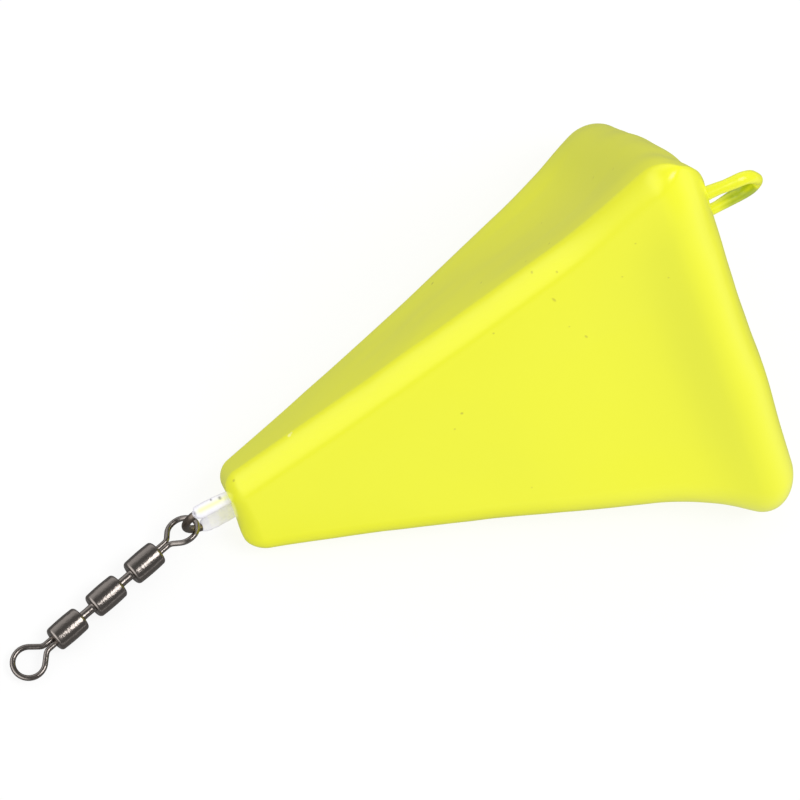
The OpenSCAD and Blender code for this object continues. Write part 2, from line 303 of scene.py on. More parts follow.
class BodySkin:
    """The outside of the dipped body.

    Attributes:
        ARC, FLAT: Points on each rounded corner and each flat of a section.
        NEAR, MIDDLE, FAR, CAP: Sections on the narrow rim, flanks, wide rim and each end face.
        COVE_DEPTH, COVE_AT, COVE_FALL, COVE_RISE: The hollow inside the lip: how deep, how far from
            the end, and the lengths over which it fades to the flanks and rises to the lip.
        COVE_FLAT: How soon the hollow fades towards the corners.
        END_SWEEP: Share of the sweep that moves the rim as a whole.
        SHADE, SHADE_AT, SHADE_WIDE: The painted shade where the cove rises to the lip: how strong,
            where and how wide.
        SOFT, SOFT_WIDE, SOFT_TALL: How much the flanks give way at the ridge, how far from it, and
            the section height from which they do so fully.
        WAVES: Seed, wave length and height of each set of waves.
        WAVE_LOW, WAVE_HIGH: Limits of the waves together.
    """

    ARC, FLAT = 22, 44
    NEAR, MIDDLE, FAR, CAP = 15, 110, 25, 16
    COVE_DEPTH, COVE_AT, COVE_FALL, COVE_RISE = 1.25, 12.0, 20.0, 8.0
    COVE_FLAT = 1.35
    END_SWEEP = 0.25
    SHADE, SHADE_AT, SHADE_WIDE = 0.11, 7.6, 3.6
    SOFT, SOFT_WIDE, SOFT_TALL = 0.65, 5.0, 12.0
    WAVES = ((4, 16, 0.09), (9, 5.5, 0.025))
    WAVE_LOW, WAVE_HIGH = -0.2, 0.12

    def __init__(self, form: BodyForm, lay: Lay) -> None:
        """Keeps the sizes and the way the body lies."""
        self.form = form
        self.lay = lay

    def stations(self) -> tuple[np.ndarray, np.ndarray]:
        """Places along the body and how far the rounded ends draw the section in."""
        f = self.form
        near = np.linspace(0, math.pi / 2, self.NEAR)
        far = np.linspace(math.pi / 2, 0, self.FAR)
        middle = np.linspace(f.narrow_rim, f.length - f.wide_rim, self.MIDDLE)[1:-1]
        first, last = f.narrow_rim * (1 - np.cos(near)), f.length - f.wide_rim * (1 - np.cos(far))
        draw = f.narrow_rim * (1 - np.sin(near)), 0 * middle, f.wide_rim * (1 - np.sin(far))
        return np.concatenate([first, middle, last]), np.concatenate(draw)

    def section(self, reach: np.ndarray, radii: Sequence[np.ndarray]) -> np.ndarray:
        """Rounded triangles, one for each set of sizes.

        Args:
            reach: Distances from the axis to the sharp corners.
            radii: Roundings of the three corners, the ridge's first.

        Returns:
            Points of shape (sections, points, 3): sideways, up and reach.
        """
        parts = []
        arc = np.linspace(0, 1, self.ARC, endpoint=False)[None, :]
        flat = np.linspace(0, 1, self.FLAT, endpoint=False)[None, :]
        for k in range(3):
            aim = math.radians(90 + 120 * k)
            out, following = aim + math.radians(60), aim + math.radians(120)
            r, after = radii[k][:, None], radii[(k + 1) % 3][:, None]
            size, turn = reach[:, None], aim + (arc - 0.5) * math.radians(120)
            y = (size - 2 * r) * math.cos(aim) + r * np.cos(turn)
            z = (size - 2 * r) * math.sin(aim) + r * np.sin(turn)
            parts.append(np.stack([y, z, np.hypot(y, z)], -1))
            ends = []
            for radius, way in ((r, aim), (after, following)):
                y = (size - 2 * radius) * math.cos(way) + radius * math.cos(out)
                z = (size - 2 * radius) * math.sin(way) + radius * math.sin(out)
                ends.append(np.stack([y, z, np.hypot(y, z)], -1))
            parts.append(ends[0] + (ends[1] - ends[0]) * flat[..., None])
        return np.concatenate(parts, 1)

    def rings(self, depth: float = 0.0) -> np.ndarray:
        """The whole surface in the body's own frame, from the narrow end to the crown.

        Args:
            depth: Distance below the outside.

        Returns:
            The rings of points.
        """
        f = self.form
        x, draw = self.stations()
        ridge, lower = f.radii(x, draw + depth)
        section = self.section(f.reach(x) - 2 * (draw + depth), (ridge, lower, lower))
        x = depth + x * (1 - 2 * depth / f.length)
        inner = np.linspace(0.06, 0.97, self.CAP)[:, None, None]
        section = np.concatenate([inner * section[:1], section, inner[::-1] * section[-1:]])
        x = np.concatenate([np.full(self.CAP, x[0]), x, np.full(self.CAP, x[-1])])
        return f.placed(x, section)

    def from_end(self, rings: np.ndarray) -> np.ndarray:
        """How far points lie from the wide end, along the body."""
        return self.form.length - rings[..., 0] - self.form.sweep * self.END_SWEEP

    @staticmethod
    def from_ridge(rings: np.ndarray) -> tuple[np.ndarray, np.ndarray]:
        """The ridge's height in each section, and how far the section's points lie from it."""
        crown = rings[..., 2].max(1, keepdims=True)
        return crown, np.hypot(rings[..., 1], rings[..., 2] - crown)

    def groove(self, rings: np.ndarray) -> np.ndarray:
        """Shifts towards the axis that make the cove inside the lip of the wide end."""
        from_end = self.from_end(rings)
        fall = fade(from_end, self.COVE_AT, self.COVE_AT + self.COVE_FALL)
        rise = fade(from_end, self.COVE_AT, self.COVE_AT - self.COVE_RISE)
        depth = self.COVE_DEPTH * (1 - fall**2 * (3 - 2 * fall)) * (1 - rise**2 * (3 - 2 * rise))
        out = rings * np.array([0, 1, 1])
        far = np.linalg.norm(out, axis=-1, keepdims=True)
        high, low = far.max(1, keepdims=True), far.min(1, keepdims=True)
        flat = np.clip((high - far) / np.maximum(high - low, 1e-6) * self.COVE_FLAT, 0, 1)
        return -out / np.maximum(far, 1e-6) * depth[..., None] * flat

    def painted_cove_shade(self, rings: np.ndarray) -> np.ndarray:
        """Mask of painted shade where the cove rises to the lip, darkening the yellow there."""
        # Painted shade: the yellow turns darker where the hollow rises to the lip, as if in shade.
        along = ((self.from_end(rings) - self.SHADE_AT) / self.SHADE_WIDE) ** 2
        return self.SHADE * np.exp(-along) * fade(self.from_ridge(rings)[1], 3, 9)

    def soften(self, rings: np.ndarray) -> np.ndarray:
        """Shifts that let the flanks bend a little before they reach the ridge."""
        crown, from_ridge = self.from_ridge(rings)
        tall = fade(crown - rings[..., 2].mean(1, keepdims=True), 0, self.SOFT_TALL) ** 2
        drop = tall * np.exp(-((from_ridge / self.SOFT_WIDE) ** 2))
        return np.array([0, 0, -self.SOFT]) * drop[..., None]

    def bulges(self, rings: np.ndarray) -> np.ndarray:
        """Shifts of the places that stand off the plain form."""
        total = np.zeros_like(rings)
        for bulge in BULGES:
            away = ((rings - np.array(bulge.place)) ** 2).sum(-1)
            total += np.exp(-away / bulge.spread**2)[..., None] * np.array(bulge.push)
        return total

    def waves(self, rings: np.ndarray) -> np.ndarray:
        """Shifts by the slight waves of cast lead and thick coating, always inwards."""
        near = np.clip(rings[..., 0] / 12, 0.25, 1)
        wave = sum(smooth_noise(seed, rings, pitch) * high for seed, pitch, high in self.WAVES)
        away = rings - np.array([0.45 * self.form.length, 0, 0])
        reach = (np.clip(wave, self.WAVE_LOW, self.WAVE_HIGH) - self.WAVE_HIGH) * near
        return away / np.linalg.norm(away, axis=-1, keepdims=True) * reach[..., None]

    def layer(self, depth: float) -> Callable[[], Grid]:
        """A layer of the body.

        Args:
            depth: Distance below the outside.

        Returns:
            A function that makes its surface, laid down in the row frame.
        """

        def surface() -> Grid:
            outside = self.rings()
            shapers = (self.waves, self.groove, self.soften, self.bulges)
            rings = self.rings(depth) + sum(shaper(outside) for shaper in shapers)
            return Grid(self.lay.points(rings), {"painted_shade_and_chips": self.painted_cove_shade(outside)})

        return surface


def sweep(
    path: np.ndarray,
    normal: np.ndarray,
    radius: np.ndarray | float,
    around: int = 20,
    masks: dict[str, np.ndarray] | None = None,
) -> Grid:
    """A round wire along a flat path.

    Args:
        path: Points of the centre line, shape (n, 3).
        normal: Normal of the plane that the path lies in.
        radius: One radius, or one for each point and angle.
        around: Points round the wire.
        masks: Named values of 0 to 1 for the wire's points.

    Returns:
        The rings round the path.
    """
    normal = normal / np.linalg.norm(normal)
    step = np.gradient(path, axis=0)
    step /= np.linalg.norm(step, axis=1, keepdims=True)
    side = np.cross(step, normal)
    side /= np.linalg.norm(side, axis=1, keepdims=True)
    angle = np.linspace(0, 2 * math.pi, around, endpoint=False)
    across = np.atleast_2d(np.cos(angle) * radius)[..., None]
    up = np.atleast_2d(np.sin(angle) * radius)[..., None]
    return Grid(path[:, None] + across * side[:, None] + up * normal, masks)


def resample(path: np.ndarray, count: int) -> np.ndarray:
    """Evenly spaced points along a line of points."""
    along = np.concatenate([[0], np.cumsum(np.linalg.norm(np.diff(path, axis=0), axis=1))])
    places = np.linspace(0, along[-1], count)
    return np.stack([np.interp(places, along, path[:, i]) for i in range(3)], 1)


def arc(r: float, start: float, end: float, count: int) -> np.ndarray:
    """Points of an arc about the origin of a plane, from one angle to another, in degrees."""
    a = np.radians(np.linspace(start, end, count))
    return np.stack([r * np.cos(a), r * np.sin(a)], 1)


@dataclass(frozen=True)
class WireEye:
    """A U of wire that stands out of the body.

    Attributes:
        bow: Place of the bow's centre along the body.
        up: Height of the eye's middle above the axis.
        r: Radius of the bow to the middle of the wire.
        wire: Radius of the wire.
        way: 1 if the eye points to the wide end's side, -1 if to the narrow end's.
        aside: Distance of the eye's plane to the side of the axis.
    """

    bow: float
    up: float
    r: float
    wire: float
    way: int
    aside: float = 0.0

    def path(self, leg: float, count: int = 160) -> np.ndarray:
        """The centre line of both limbs and the bow in the body's own frame."""
        turn = arc(self.r, 90, -90, 60)
        flat = np.vstack([[[-leg, self.r]], turn, [[-leg, -self.r]]])
        aside = np.full(len(flat), self.aside)
        points = np.stack([self.bow + self.way * flat[:, 0], aside, self.up + flat[:, 1]], 1)
        return resample(points, count)


@dataclass(frozen=True)
class SwivelForm:
    """Sizes and lie of the swivel, the same as the CAD source has."""

    hinge: Triple = (-24.2566, 0.2, 3.59671)
    yaw: float = 17.0
    pitch: float = 5.08486
    near_ring: float = 0.6
    near_roll: float = -28.0
    barrel: float = 3.3
    barrel_len: float = 4.4
    gap: float = 1.8
    round: float = 0.45
    pin: float = 1.2
    wire: float = 0.7
    ring: float = 1.95
    shank: float = 1.7
    head: float = 2.0
    head_len: float = 0.7
    end_wall: float = 0.6
    run: float = 0.05

    @property
    def shank_end(self) -> float:
        """Distance from an eye's middle to the barrel's end."""
        return self.ring + self.wire / 2 + self.shank

    @property
    def pitch_len(self) -> float:
        """Distance between two barrels' middles."""
        return self.barrel_len + self.gap

    def barrel_at(self, number: int) -> float:
        """Distance from the hinge to a barrel's middle."""
        return self.near_ring + self.shank_end + self.barrel_len / 2 + number * self.pitch_len

    @property
    def end_ring(self) -> float:
        """Distance from the hinge to the free eye's middle."""
        return self.barrel_at(2) + self.barrel_len / 2 + self.shank_end

    def axes(self) -> np.ndarray:
        """Rows: the swivel's own X, Y and Z in the row frame. X points back to the hinge."""
        p, y = math.radians(self.pitch), math.radians(self.yaw)
        pitch = np.array([[math.cos(p), 0, -math.sin(p)], [0, 1, 0], [math.sin(p), 0, math.cos(p)]])
        yaw = np.array([[math.cos(y), -math.sin(y), 0], [math.sin(y), math.cos(y), 0], [0, 0, 1]])
        return (yaw @ pitch).T

    def points(self, local: np.ndarray, along: float) -> np.ndarray:
        """Takes points about a station of the swivel to the row frame."""
        rows = self.axes()
        return np.array(self.hinge) + (local - np.array([along, 0, 0])) @ rows


class NodeTree:
    """Small helper that adds shader nodes and links."""

    def __init__(self, tree: bpy.types.NodeTree) -> None:
        """Keeps the tree."""
        self.tree = tree

    @classmethod
    def fresh(cls, owner: bpy.types.Material | bpy.types.World) -> "NodeTree":
        """The emptied node tree of a material or world."""
        owner.use_nodes = True
        owner.node_tree.nodes.clear()
        return cls(owner.node_tree)

    def add(self, kind: str, inputs: dict | None = None, **settings: object) -> bpy.types.Node:
        """Adds a node.

        Args:
            kind: The node's type.
            inputs: Values or sockets for its inputs, by name or number.
            **settings: Attributes of the node.

        Returns:
            The node.
        """
        node = self.tree.nodes.new(kind)
        for key, value in settings.items():
            setattr(node, key, value)
        for key, value in (inputs or {}).items():
            socket = node.inputs[key]
            if isinstance(value, Socket):
                self.tree.links.new(value, socket)
            else:
                socket.default_value = value
        return node

    def math(self, operation: str, *values: object) -> Socket:
        """A math node's output."""
        node = self.add("ShaderNodeMath", dict(enumerate(values)), operation=operation)
        return node.outputs[0]

    def vector(self, operation: str, *values: object) -> bpy.types.Node:
        """A vector math node."""
        return self.add("ShaderNodeVectorMath", dict(enumerate(values)), operation=operation)

    def blend(self, factor: object, a: object, b: object) -> Socket:
        """A colour between two others."""
        node = self.tree.nodes.new("ShaderNodeMix")
        node.data_type = "RGBA"
        for name, value in (("Factor_Float", factor), ("A_Color", a), ("B_Color", b)):
            socket = next(s for s in node.inputs if s.identifier == name)
            if isinstance(value, Socket):
                self.tree.links.new(value, socket)
            else:
                socket.default_value = value
        return next(s for s in node.outputs if s.identifier == "Result_Color")

    def ramp(
        self, value: Socket, low: float, high: float, least: float = 0.0, most: float = 1.0
    ) -> Socket:
        """A smooth step of a value."""
        ends = {0: value, 1: low, 2: high, 3: least, 4: most}
        return self.add("ShaderNodeMapRange", ends, interpolation_type="SMOOTHSTEP").outputs[0]


@dataclass(frozen=True)
class Finish:
    """Numbers of one finish."""

    color: Triple
    rough: float
    metal: float = 0.0
    coat: float = 0.0
    glow: float = 0.0
    glow_color: Triple = (1.0, 1.0, 1.0)
    bump: float = 0.0
    bump_scale: float = 400.0


@dataclass(frozen=True)
class Speck:
    """A small mark in the coating.

    Attributes:
        place: Its place in the row frame.
        facing: The side that it is on: -1 for the front flank, 1 for the rear one, 0 for the ridge.
        size: Its radius.
        strength: How strongly it shows.
    """

    place: Triple
    facing: int
    size: float
    strength: float


SPECKS = (
    Speck((7.93, -6.36, 21.96), -1, 0.26, 0.55),
    Speck((6.94, -7.1, 19.67), -1, 0.2, 0.35),
    Speck((15.06, -14.81, 10.62), -1, 0.17, 0.25),
    Speck((28.52, -3.69, 45.85), -1, 0.18, 0.3),
    Speck((20.07, -1.77, 41.0), -1, 0.2, 0.4),
    Speck((27.02, -5.13, 40.85), -1, 0.18, 0.3),
    Speck((31.83, -7.5, 41.4), -1, 0.18, 0.3),
    Speck((12.43, -2.63, 33.05), -1, 0.2, 0.4),
    Speck((20.93, -5.77, 33.62), -1, 0.17, 0.3),
    Speck((18.98, 3.4, 36.81), 1, 0.2, 0.45),
    Speck((17.79, 1.53, 39.61), 1, 0.22, 0.45),
    Speck((-18.3, 0.7, 11.7), 0, 0.26, 0.5),
)
NICKS = (
    Speck((-10.9, 1.6, 16.75), 0, 0.34, 0.75),
    Speck((-10.6, 1.75, 16.9), 0, 0.24, 0.6),
)

# The glow of the yellow and of the base coat is painted light: both shine by themselves, the yellow
# with a greener glow that lifts its shaded sides.
FINISHES = {
    Slot.YELLOW: Finish(
        (0.795, 0.788, 0.012), 0.3, coat=0.35, glow=0.12, glow_color=(0.68, 0.9, 0.012),
        bump=0.06, bump_scale=260,
    ),
    Slot.BASE_COAT: Finish(
        (0.89, 0.88, 0.93), 0.3, coat=0.2, glow=0.1, glow_color=(0.85, 0.84, 1.0),
        bump=0.12, bump_scale=900,
    ),
    Slot.WIRE: Finish((0.20, 0.165, 0.135), 0.34, metal=1.0, bump=0.15, bump_scale=1800),
    Slot.BLACK_NICKEL: Finish((0.30, 0.268, 0.247), 0.23, metal=1.0, bump=0.08, bump_scale=2500),
    Slot.LEAD: Finish((0.30, 0.30, 0.32), 0.6, metal=0.6),
}


class Materials:
    """Makes and keeps the finishes."""

    BUMP_DEPTH = 0.0004
    COAT_ROUGH = 0.2
    # Colour of the yellow in painted shade, for the cove and the inside of the tow eye.
    PAINTED_SHADE_YELLOW = (0.29, 0.36, 0.008, 1)
    SPECK = (0.33, 0.26, 0.01, 1)
    NICK = (0.95, 0.9, 0.4, 1)
    # Colour of the painted reflection of the yellow body on the white run.
    YELLOW_REFLECTION = (0.90, 0.93, 0.28, 1)
    # Colour of the real chips on the runs, and of the painted shade at their edges and root.
    CHIP_AND_SHADE = (0.10, 0.09, 0.105, 1)

    def __init__(self) -> None:
        """Starts with none made."""
        self.made: dict[Slot, bpy.types.Material] = {}
        self.bump = self._bump_group()
        self.spot = self._spot_group()

    @staticmethod
    def _group(name: str, inputs: dict[str, str], output: str, kind: str) -> NodeTree:
        """Starts a shared group with its sockets.

        Args:
            name: Name of the group.
            inputs: Kind of each input socket, by name.
            output: Name of the output socket.
            kind: Kind of the output socket.

        Returns:
            The group's nodes, none so far.
        """
        group = bpy.data.node_groups.new(name, "ShaderNodeTree")
        for key, value in inputs.items():
            group.interface.new_socket(key, in_out="INPUT", socket_type="NodeSocket" + value)
        group.interface.new_socket(output, in_out="OUTPUT", socket_type="NodeSocket" + kind)
        return NodeTree(group)

    def _bump_group(self) -> bpy.types.NodeTree:
        """A shared group: object coordinates to the normal of an uneven skin."""
        inputs = {"Scale": "Float", "Strength": "Float"}
        net = self._group("uneven_skin", inputs, "Normal", "Vector")
        entry = net.add("NodeGroupInput").outputs
        place = net.add("ShaderNodeTexCoord").outputs["Object"]
        waves = {"Vector": place, "Scale": entry["Scale"], "Detail": 2.0}
        height = net.add("ShaderNodeTexNoise", waves).outputs[0]
        skin = {"Height": height, "Strength": entry["Strength"], "Distance": self.BUMP_DEPTH}
        net.add("NodeGroupOutput", {0: net.add("ShaderNodeBump", skin).outputs[0]})
        return net.tree

    def _spot_group(self) -> bpy.types.NodeTree:
        """A shared group: a round mask about a line through a place."""
        inputs = {"Place": "Vector", "Facing": "Vector", "Size": "Float", "Strength": "Float"}
        net = self._group("round_spot", inputs, "Mask", "Float")
        entry = net.add("NodeGroupInput").outputs
        here = net.add("ShaderNodeTexCoord").outputs["Object"]
        away = net.vector("SUBTRACT", here, entry["Place"]).outputs[0]
        cross = net.vector("CROSS_PRODUCT", away, entry["Facing"]).outputs[0]
        share = net.math("DIVIDE", net.vector("LENGTH", cross).outputs["Value"], entry["Size"])
        mask = net.math("MULTIPLY", net.ramp(share, 1.0, 0.3), entry["Strength"])
        net.add("NodeGroupOutput", {0: mask})
        return net.tree

    def marks(self, net: NodeTree, specks: Sequence[Speck]) -> Socket:
        """The joined mask of some marks."""
        total = None
        for speck in specks:
            spot = {
                "Place": [c * MM for c in speck.place],
                "Facing": (-0.33, 0.84 * speck.facing, 0.42 if speck.facing else 0.94),
                "Size": speck.size * MM,
                "Strength": speck.strength,
            }
            mask = net.add("ShaderNodeGroup", spot, node_tree=self.spot).outputs[0]
            total = mask if total is None else net.math("MAXIMUM", total, mask)
        return total

    def color(self, net: NodeTree, slot: Slot) -> Socket | None:
        """The colour of a coat with its painted shade, painted reflection and real marks, or
        nothing for the plain finishes.
        """
        if slot not in (Slot.YELLOW, Slot.BASE_COAT):
            return None
        base = (*FINISHES[slot].color, 1)
        painted_shade_and_chips = net.add("ShaderNodeAttribute", attribute_name="painted_shade_and_chips").outputs["Fac"]
        if slot is Slot.YELLOW:
            shaded = net.blend(painted_shade_and_chips, base, self.PAINTED_SHADE_YELLOW)
            specked = net.blend(self.marks(net, SPECKS), shaded, self.SPECK)
            return net.blend(self.marks(net, NICKS), specked, self.NICK)
        painted_reflection = net.add("ShaderNodeAttribute", attribute_name="painted_reflection").outputs["Fac"]
        return net.blend(painted_shade_and_chips, net.blend(painted_reflection, base, self.YELLOW_REFLECTION), self.CHIP_AND_SHADE)

    def get(self, slot: Slot) -> bpy.types.Material:
        """The material of a slot, made at first use."""
        if slot not in self.made:
            self.made[slot] = self._make(slot)
        return self.made[slot]

    def _make(self, slot: Slot) -> bpy.types.Material:
        """Builds one material from its finish."""
        finish = FINISHES[slot]
        material = bpy.data.materials.new(slot.value)
        net = NodeTree.fresh(material)
        inputs = {
            "Base Color": (*finish.color, 1),
            "Roughness": finish.rough,
            "Metallic": finish.metal,
            "Coat Weight": finish.coat,
            "Coat Roughness": self.COAT_ROUGH,
        }
        if finish.glow:
            inputs["Emission Color"] = (*finish.glow_color, 1)
            inputs["Emission Strength"] = finish.glow
        if finish.bump:
            skin = {"Scale": finish.bump_scale, "Strength": finish.bump}
            inputs["Normal"] = net.add("ShaderNodeGroup", skin, node_tree=self.bump).outputs[0]
        shader = net.add("ShaderNodeBsdfPrincipled", inputs)
        marks_and_painted_shade = self.color(net, slot)
        if marks_and_painted_shade:
            net.tree.links.new(marks_and_painted_shade, shader.inputs["Base Color"])
        net.add("ShaderNodeOutputMaterial", {0: shader.outputs[0]})
        return material


@dataclass(frozen=True)
class Piece:
    """One visible piece.

    Attributes:
        name: Its name.
        node: CAD node it stands for.
        body: CAD body it rides on.
        slot: Its material slot.
        surface: Makes its surface.
    """

    name: str
    node: str
    body: str
    slot: Slot
    surface: Callable[[], Grid]

    def build(self, materials: Materials) -> bpy.types.Object:
        """Makes the object and ties it to the frame."""
        mesh = self.surface().mesh(self.name)
        mesh.materials.append(materials.get(self.slot))
        obj = bpy.data.objects.new(self.name, mesh)
        bpy.context.scene.collection.objects.link(obj)
        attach(obj, self.body)
        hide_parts(self.node)
        return obj


class Sinker:
    """The whole object.

    Attributes:
        CHIPS: Share along, place across and size of each chip in the upper run.
        NEAR_FORK, END_FORK: Where an eye's wires meet, as a share of its ring's radius.
        ACROSS: Normal of the plane of both cast-in eyes.
        UPPER_SIDE: Angle round a limb that shows as its upper edge, in degrees.
    """

    ACROSS = np.array([0.0, 1, 0])
    UPPER_SIDE = 109
    CHIPS = ((0.30, 0.45, 0.035), (0.50, 0.75, 0.022), (0.93, 0.2, 0.03))
    NEAR_FORK, END_FORK = 1.18, 1.3

    def __init__(self) -> None:
        """Sets the sizes, in millimetres as in the CAD source."""
        self.form = BodyForm()
        self.lay = Lay()
        self.swivel = SwivelForm()
        out, wire, coat = 6.8, 0.5, 0.25
        tow, loop = 2.7, 2.9
        self.tow = WireEye(
            bow=self.form.length + out - wire - coat - tow, up=20.2, r=tow, wire=wire + coat, way=1
        )
        self.loop = WireEye(bow=-(out - wire - loop), up=0.8, r=loop, wire=wire, way=-1, aside=0.2)

    def tow_coat(self) -> Grid:
        """The tow eye: thick coating between its limbs, with painted shade on the inside of its far
        limb.
        """
        path = self.tow.path(leg=5.2)
        s = np.linspace(0, 1, len(path))[:, None]
        around = 40
        degrees = np.linspace(0, 360, around, endpoint=False)[None, :]
        near = fade(s, 0.16, 0.28) * fade(s, 0.52, 0.46)
        far = fade(s, 0.48, 0.54) * fade(s, 0.86, 0.74)
        root = fade(s, 0.2, 0.1)
        bow = np.exp(-(((s - 0.56) / 0.10) ** 2))
        top = np.exp(-(((s - 0.42) / 0.08) ** 2))
        swells = (
            (0.30 * near, 250, 55),
            (0.30 * far, 109, 55),
            (0.26 * root, 70, 50),
            (-0.04 * root, 250, 50),
            (0.20 * bow, 310, 60),
            (-0.14 * top, 20, 50),
        )
        radius = self.tow.wire - 0.04 + 0.03 * smooth_noise(21, path, 2.2)[:, None]
        radius = radius + sum(high * self.lobe(degrees, *place) for high, *place in swells)
        # Painted shade on the inside of the far limb and round the inner side of the bow.
        limit = np.interp(s, [0.38, 0.45, 0.53, 0.60], [150, 205, 240, 335])
        shade = fade(degrees, 75, 100) * fade(limit - degrees, 0, 30)
        shade = shade * fade(s, 0.38, 0.44) * fade(s, 0.86, 0.76)
        turn = np.radians(degrees)
        places = np.stack(np.broadcast_arrays(s * 3.5, np.cos(turn) * 0.9, np.sin(turn) * 0.9), -1)
        # Painted shade: a slight darkening of the whole eye, more where the inner shade lies.
        shade = np.clip(0.07 + shade * (0.85 + 0.3 * smooth_noise(22, places, 0.7)), 0, 1)
        return sweep(self.lay.points(path), self.ACROSS, radius, around, {"painted_shade_and_chips": shade})

    @staticmethod
    def lobe(degrees: np.ndarray, middle: float, width: float) -> np.ndarray:
        """A soft swell round a wire, highest at one angle."""
        away = (degrees - middle + 180) % 360 - 180
        return np.exp(-((away / width) ** 2))

    def front_wire(self) -> Grid:
        """The bare wire of the front loop."""
        path = self.loop.path(leg=5.0)
        return sweep(self.lay.points(path), self.ACROSS, self.loop.wire)

    def seen_place(self, angle: np.ndarray) -> np.ndarray:
        """Where a limb's point shows: -1 at the lower edge, 1 at the upper one, 9 if hidden."""
        place = np.cos(angle - math.radians(self.UPPER_SIDE))
        shows = np.cos(angle - math.radians(self.UPPER_SIDE + 90)) > 0
        return np.where(shows, place, 9.0)[None, :]

    @staticmethod
    def blots(s: np.ndarray, across: np.ndarray, places: Sequence[tuple]) -> np.ndarray:
        """Small round marks on a limb.

        Args:
            s: Share along the limb, one row for each ring.
            across: Place across the limb, one for each point of a ring.
            places: Share along, place across and size of each mark.

        Returns:
            The mask of all marks.
        """
        total = np.zeros((len(s), across.shape[1]))
        for along, side, size in places:
            total += np.exp(-(((s - along) / size) ** 2) - ((across - side) / (size * 6)) ** 2)
        return np.clip(total, 0, 1)

    def run(self, side: int) -> Callable[[], Grid]:
        """The lumpy white run on one limb of the front loop.

        Args:
            side: 1 for the upper limb, -1 for the lower one.

        Returns:
            A function that makes the surface.
        """

        def surface() -> Grid:
            whole = self.loop.path(leg=4.0, count=240)
            keep = whole[:118] if side > 0 else whole[::-1][:118]
            inside = keep[:, 0] > self.loop.bow - 1.3
            steps, round_it = 90, 24
            path = resample(keep[inside], steps)
            s = np.linspace(0, 1, steps)[:, None]
            angle = np.linspace(0, 2 * math.pi, round_it, endpoint=False)
            spots = np.stack(np.broadcast_arrays(s * 6, np.cos(angle), np.sin(angle)), -1)
            thick = 0.28 if side > 0 else 0.34
            swell = thick + 0.12 * np.sin(math.pi * np.clip(s * 1.15 - 0.25, 0, 1)) ** 0.8
            ragged = 0.03 * (1 + smooth_noise(41, spots * 3, 1.2))
            end = np.sqrt(fade(s + ragged, 1, 0.93))
            if side < 0:
                turn = np.degrees(angle)
                swell = swell + 0.30 * self.lobe(turn, self.UPPER_SIDE, 60)
                swell = swell - 0.12 * self.lobe(turn, self.UPPER_SIDE + 180, 60)
                end = np.sqrt(fade(s, 1, 0.78))
            radius = self.loop.wire + (swell + 0.05 * smooth_noise(30 + side, spots, 1.7)) * end
            place = self.seen_place(angle)
            # Painted shade: darker towards both seen edges of the limb.
            edge = np.clip(np.abs(place), 0, 1) ** 4 * (place < 2)
            # Painted shadow where the limb goes into the body.
            root = fade(s, 0.16, 0.04)
            if side > 0:
                # Painted reflection of the yellow body: a pale yellow stripe down the middle of the
                # upper run's seen side. The chips are real; the edges get a little painted shade.
                stripe = np.exp(-(((place - 0.1) / 0.34) ** 2)) * fade(s, 0.92, 0.82)
                chips = self.blots(s, place, self.CHIPS)
                masks = {"painted_reflection": stripe * 0.75, "painted_shade_and_chips": np.clip(chips + 0.14 * edge, 0, 1)}
            else:
                # Painted shadow at the root and painted shade along the edges, more at the upper
                # one.
                painted_root_and_edge_shade = 0.35 * root + 0.28 * edge * (place > 0) + 0.10 * edge
                masks = {"painted_reflection": 0 * s, "painted_shade_and_chips": np.clip(painted_root_and_edge_shade, 0, 1)}
            masks = {key: np.broadcast_to(value, radius.shape) for key, value in masks.items()}
            return sweep(self.lay.points(path), self.ACROSS, radius, round_it, masks)

        return surface

    def eye(self, along: float, way: int, roll: float, fork_share: float) -> Callable[[], Grid]:
        """A pear-shaped wire eye with its two parallel wires.

        Args:
            along: Distance from the hinge to the eye's middle.
            way: 1 if the shank points away from the hinge, -1 if to it.
            roll: Turn about the swivel's axis, in degrees.
            fork_share: Where the wires meet, as a share of the ring's radius.

        Returns:
            A function that makes the surface.
        """

        def surface() -> Grid:
            s = self.swivel
            c, d = math.cos(math.radians(roll)), math.sin(math.radians(roll))
            half, fork = 0.5 * s.wire + 0.01, fork_share * s.ring
            bend, tail = 0.45, s.shank_end + 0.4
            far = math.hypot(fork, half)
            leave = math.degrees(math.acos(s.ring / far) + math.atan2(half, fork))
            turn = math.radians(leave)
            touch = s.ring * np.array([-math.cos(turn), math.sin(turn)])
            corner = np.array([-fork, half])
            start = corner - [bend, 0]
            stop = corner + (touch - corner) * bend / np.linalg.norm(touch - corner)
            t = np.linspace(0, 1, 16)[:, None]
            upper = (1 - t) ** 2 * start + 2 * t * (1 - t) * corner + t**2 * stop
            ring = arc(s.ring, 180 - leave, -180 + leave, 90)
            lower = (upper * [1, -1])[::-1]
            flat = np.vstack([[[-tail, half]], upper, ring, lower, [[-tail, -half]]])
            local = np.stack([flat[:, 0] * way, flat[:, 1] * c, flat[:, 1] * d], 1)
            path = resample(s.points(local, along), 220)
            return sweep(path, np.array([0, -d, c]) @ s.axes(), s.wire / 2, 16)

        return surface

    def lathe(self, along: float, profile: Sequence[tuple[float, float]], around: int = 64) -> Grid:
        """A round piece about the swivel's axis.

        Args:
            along: Distance from the hinge to its middle.
            profile: Pairs of place along the axis and radius.
            around: Points round it.

        Returns:
            The surface.
        """
        line = np.array(profile)
        angle = np.linspace(0, 2 * math.pi, around, endpoint=False)
        y, z = line[:, 1:] * np.cos(angle), line[:, 1:] * np.sin(angle)
        local = np.stack([np.repeat(line[:, :1], around, 1), y, z], -1)
        return Grid(self.swivel.points(local, along))

